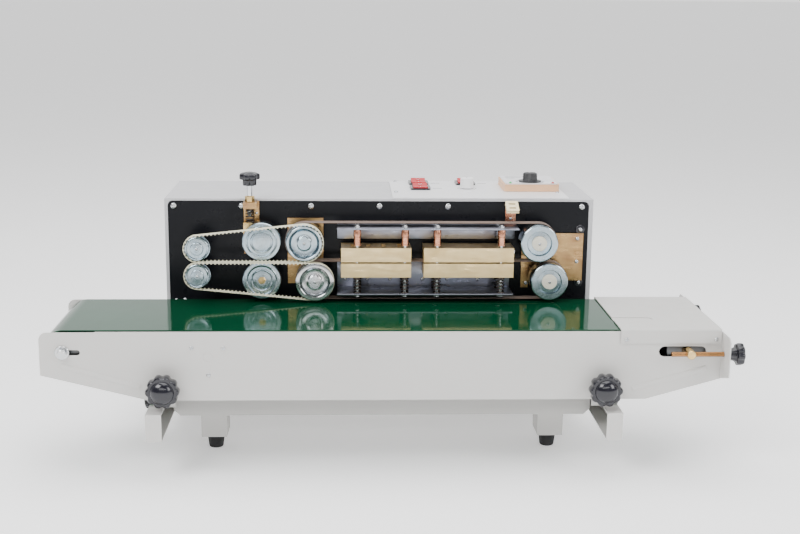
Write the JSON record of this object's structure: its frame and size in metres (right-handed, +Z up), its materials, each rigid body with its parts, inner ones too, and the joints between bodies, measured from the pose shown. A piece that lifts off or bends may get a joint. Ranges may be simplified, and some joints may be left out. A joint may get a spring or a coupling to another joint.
{
  "type": "continuous band sealer",
  "caption": "Bench continuous band sealer: a height-adjustable belt conveyor in front of a housing with heated and cooled sealing bands, guide belts and press wheels.",
  "frame": {"origin": "on the bench under the middle of the whole machine", "axes": "+X along the conveyor towards its tension knobs, +Y from the operator to the back of the housing, +Z up"},
  "size_m": [0.84, 0.376, 0.345],
  "materials": {
    "case_paint": "light grey textured powder coat",
    "frame_paint": "warm grey powder coat",
    "black_paint": "black powder coat",
    "panel_sheet": "white satin sheet",
    "controller_case": "peach moulded plastic",
    "foot_rubber": "black rubber",
    "yellow_zinc": "brass-coloured passivated plate",
    "blue_zinc": "blue-white zinc plate",
    "turned_steel": "turned and zinc plated",
    "roller_metal": "turned",
    "block_brass": "milled brass",
    "terminal_ceramic": "ivory ceramic on a plated bracket",
    "spring_steel": "dark oiled wire",
    "motor_casting": "cast",
    "guide_polyurethane": "cream toothed polyurethane",
    "seal_fabric": "brown coated glass cloth",
    "belt_pvc": "glossy dark green",
    "black_plastic": "black moulded plastic",
    "red_plastic": "translucent red",
    "white_plastic": "white moulded plastic"
  },
  "bodies": {
    "base": {"base_frame": "frame_paint", "front_left_foot": "foot_rubber", "front_right_foot": "foot_rubber", "rear_left_foot": "foot_rubber", "rear_right_foot": "foot_rubber", "housing_shell": "case_paint", "rear_cover": "case_paint", "front_plate": "black_paint", "control_panel": "panel_sheet", "temperature_controller": "controller_case", "bearing_plate": "yellow_zinc", "block_frame": "blue_zinc", "heater_terminal": "terminal_ceramic", "press_frame": "yellow_zinc", "press_spring": "spring_steel", "gear_motor": "motor_casting", "cable_gland": "black_plastic", "lower_guide_belt": "guide_polyurethane", "upper_guide_belt": "guide_polyurethane", "lower_seal_band": "seal_fabric", "upper_seal_band": "seal_fabric", "upper_heating_block": "block_brass", "upper_cooling_block": "block_brass"},
    "lower_drive": {"lower_drive_wheel": "turned_steel"},
    "upper_drive": {"upper_drive_wheel": "turned_steel"},
    "band_tensioner": {"tension_plate": "yellow_zinc"},
    "lower_idler": {"lower_idler_wheel": "turned_steel"},
    "upper_idler": {"upper_idler_wheel": "turned_steel"},
    "lower_pulley": {"lower_guide_pulley": "turned_steel"},
    "upper_pulley": {"upper_guide_pulley": "turned_steel"},
    "lower_press": {"lower_press_wheel": "turned_steel"},
    "carriage": {"press_carriage": "yellow_zinc"},
    "upper_press": {"upper_press_wheel": "turned_steel"},
    "pressure_screw": {"press_screw": "blue_zinc"},
    "pressure_knob": {"press_knob": "black_plastic"},
    "fan": {"fan_rotor": "black_plastic"},
    "power_switch": {"rocker_power": "red_plastic"},
    "fan_switch": {"rocker_fan": "red_plastic"},
    "heat_switch": {"rocker_heat": "red_plastic"},
    "speed_dial": {"speed_knob": "white_plastic"},
    "temperature_dial": {"temperature_knob": "black_plastic"},
    "heating_float": {"lower_heating_block": "block_brass"},
    "cooling_float": {"lower_cooling_block": "block_brass"},
    "arms": {"left_arm": "frame_paint", "right_arm": "frame_paint"},
    "conveyor": {"front_side_panel": "frame_paint", "bed_and_back_panel": "frame_paint", "conveyor_belt": "belt_pvc", "head_axle": "blue_zinc", "end_cover": "frame_paint"},
    "head": {"head_roller": "roller_metal"},
    "drive": {"drive_roller": "roller_metal"},
    "trunnion": {"tension_axle": "yellow_zinc"},
    "tail": {"tail_roller": "roller_metal"},
    "front_tensioner": {"front_tension_screw": "black_plastic"},
    "rear_tensioner": {"rear_tension_screw": "black_plastic"},
    "left_height": {"left_height_knob": "black_plastic"},
    "right_height": {"right_height_knob": "black_plastic"},
    "left_clamp": {"left_arm_knob": "black_plastic"},
    "right_clamp": {"right_arm_knob": "black_plastic"}
  },
  "joints": [
    {"name": "main_drive", "type": "hinge", "parent": "base", "child": "lower_drive", "pos_m": [-0.098, 0, 0.2069], "axis": [0, 1, 0], "continuous": true},
    {"name": "upper_drive_turn", "type": "hinge", "parent": "base", "child": "upper_drive", "pos_m": [-0.1115, 0, 0.2574], "axis": [0, 1, 0], "continuous": true},
    {"name": "band_tension", "type": "slide", "parent": "base", "child": "band_tensioner", "axis": [1, 0, 0], "range_m": [-0.006, 0], "stiffness_N_per_m": 2000, "springref_m": 0.008, "deforming": ["lower_seal_band", "upper_seal_band"]},
    {"name": "lower_idler_turn", "type": "hinge", "parent": "band_tensioner", "child": "lower_idler", "pos_m": [0.2067, 0, 0.2069], "axis": [0, 1, 0], "continuous": true},
    {"name": "upper_idler_turn", "type": "hinge", "parent": "band_tensioner", "child": "upper_idler", "pos_m": [0.1921, 0, 0.2574], "axis": [0, 1, 0], "continuous": true},
    {"name": "lower_pulley_turn", "type": "hinge", "parent": "base", "child": "lower_pulley", "pos_m": [-0.2485, 0, 0.2143], "axis": [0, 1, 0], "continuous": true},
    {"name": "upper_pulley_turn", "type": "hinge", "parent": "base", "child": "upper_pulley", "pos_m": [-0.2485, 0, 0.25], "axis": [0, 1, 0], "continuous": true},
    {"name": "lower_press_turn", "type": "hinge", "parent": "base", "child": "lower_press", "pos_m": [-0.1665, 0, 0.2069], "axis": [0, 1, 0], "continuous": true},
    {"name": "press_lift", "type": "slide", "parent": "base", "child": "carriage", "axis": [0, 0, 1], "range_m": [0, 0.004], "stiffness_N_per_m": 1500, "springref_m": -0.005, "deforming": ["press_spring"]},
    {"name": "upper_press_turn", "type": "hinge", "parent": "carriage", "child": "upper_press", "pos_m": [-0.1665, 0, 0.2574], "axis": [0, 1, 0], "continuous": true},
    {"name": "pressure_travel", "type": "slide", "parent": "base", "child": "pressure_screw", "axis": [0, 0, 1], "range_m": [-0.003, 0.003]},
    {"name": "pressure_turn", "type": "hinge", "parent": "pressure_screw", "child": "pressure_knob", "pos_m": [-0.1825, 0.017, 0.3275], "axis": [0, 0, 1], "range_deg": [-865, 865]},
    {"name": "fan_spin", "type": "hinge", "parent": "base", "child": "fan", "pos_m": [-0.01, 0.1665, 0.22], "axis": [0, 1, 0], "continuous": true},
    {"name": "power_rock", "type": "hinge", "parent": "base", "child": "power_switch", "pos_m": [0.044, 0.1085, 0.3133], "axis": [1, 0, 0], "range_deg": [-13, 0]},
    {"name": "fan_rock", "type": "hinge", "parent": "base", "child": "fan_switch", "pos_m": [0.044, 0.155, 0.3133], "axis": [1, 0, 0], "range_deg": [-13, 0]},
    {"name": "heat_rock", "type": "hinge", "parent": "base", "child": "heat_switch", "pos_m": [0.1098, 0.155, 0.3133], "axis": [1, 0, 0], "range_deg": [-13, 0]},
    {"name": "speed_turn", "type": "hinge", "parent": "base", "child": "speed_dial", "pos_m": [0.1085, 0.1095, 0.3103], "axis": [0, 0, 1], "range_deg": [-135, 135]},
    {"name": "temperature_turn", "type": "hinge", "parent": "base", "child": "temperature_dial", "pos_m": [0.1946, 0.103, 0.3213], "axis": [0, 0, 1], "range_deg": [-135, 135]},
    {"name": "heating_lift", "type": "slide", "parent": "base", "child": "heating_float", "axis": [0, 0, 1], "range_m": [-0.003, 0], "stiffness_N_per_m": 3000, "springref_m": 0.004},
    {"name": "cooling_lift", "type": "slide", "parent": "base", "child": "cooling_float", "axis": [0, 0, 1], "range_m": [-0.003, 0], "stiffness_N_per_m": 3000, "springref_m": 0.004},
    {"name": "arm_slide", "type": "slide", "parent": "base", "child": "arms", "axis": [0, 1, 0], "range_m": [-0.03, 0]},
    {"name": "conveyor_lift", "type": "slide", "parent": "arms", "child": "conveyor", "axis": [0, 0, 1], "range_m": [-0.0045, 0]},
    {"name": "head_turn", "type": "hinge", "parent": "conveyor", "child": "head", "pos_m": [-0.393, 0, 0.1527], "axis": [0, 1, 0], "continuous": true},
    {"name": "drive_turn", "type": "hinge", "parent": "conveyor", "child": "drive", "pos_m": [-0.222, 0, 0.147], "axis": [0, 1, 0], "continuous": true},
    {"name": "tail_travel", "type": "slide", "parent": "conveyor", "child": "trunnion", "axis": [1, 0, 0], "range_m": [-0.008, 0.008], "deforming": ["conveyor_belt"]},
    {"name": "tail_turn", "type": "hinge", "parent": "trunnion", "child": "tail", "pos_m": [0.3549, 0, 0.1527], "axis": [0, 1, 0], "continuous": true},
    {"name": "front_tension_turn", "type": "hinge", "parent": "conveyor", "child": "front_tensioner", "pos_m": [0.405, -0.166, 0.1527], "axis": [1, 0, 0], "range_deg": [-2881, 2881]},
    {"name": "rear_tension_turn", "type": "hinge", "parent": "conveyor", "child": "rear_tensioner", "pos_m": [0.405, 0.023, 0.1527], "axis": [1, 0, 0], "range_deg": [-2881, 2881]},
    {"name": "left_height_turn", "type": "hinge", "parent": "conveyor", "child": "left_height", "pos_m": [-0.274, -0.1595, 0.11], "axis": [0, 1, 0], "range_deg": [-180, 180]},
    {"name": "right_height_turn", "type": "hinge", "parent": "conveyor", "child": "right_height", "pos_m": [0.253, -0.1595, 0.11], "axis": [0, 1, 0], "range_deg": [-180, 180]},
    {"name": "left_clamp_turn", "type": "hinge", "parent": "base", "child": "left_clamp", "pos_m": [-0.2942, -0.07, 0.068], "axis": [1, 0, 0], "range_deg": [-180, 180]},
    {"name": "right_clamp_turn", "type": "hinge", "parent": "base", "child": "right_clamp", "pos_m": [0.2732, -0.07, 0.068], "axis": [1, 0, 0], "range_deg": [-180, 180]}
  ],
  "couplings": [
    {"joint": "upper_drive_turn", "follows": "main_drive", "ratio": -1},
    {"joint": "lower_idler_turn", "follows": "main_drive", "ratio": 1},
    {"joint": "upper_idler_turn", "follows": "main_drive", "ratio": -1},
    {"joint": "lower_pulley_turn", "follows": "main_drive", "ratio": 1.4458},
    {"joint": "upper_pulley_turn", "follows": "main_drive", "ratio": -1.4458},
    {"joint": "lower_press_turn", "follows": "main_drive", "ratio": 1},
    {"joint": "upper_press_turn", "follows": "main_drive", "ratio": -1},
    {"joint": "head_turn", "follows": "main_drive", "ratio": 0.97638},
    {"joint": "tail_turn", "follows": "main_drive", "ratio": 0.97638},
    {"joint": "drive_turn", "follows": "main_drive", "ratio": 1.2917},
    {"joint": "pressure_turn", "follows": "pressure_travel", "rad_per_m": 5026.5},
    {"joint": "front_tension_turn", "follows": "tail_travel", "rad_per_m": -6283.2},
    {"joint": "rear_tension_turn", "follows": "tail_travel", "rad_per_m": -6283.2}
  ]
}
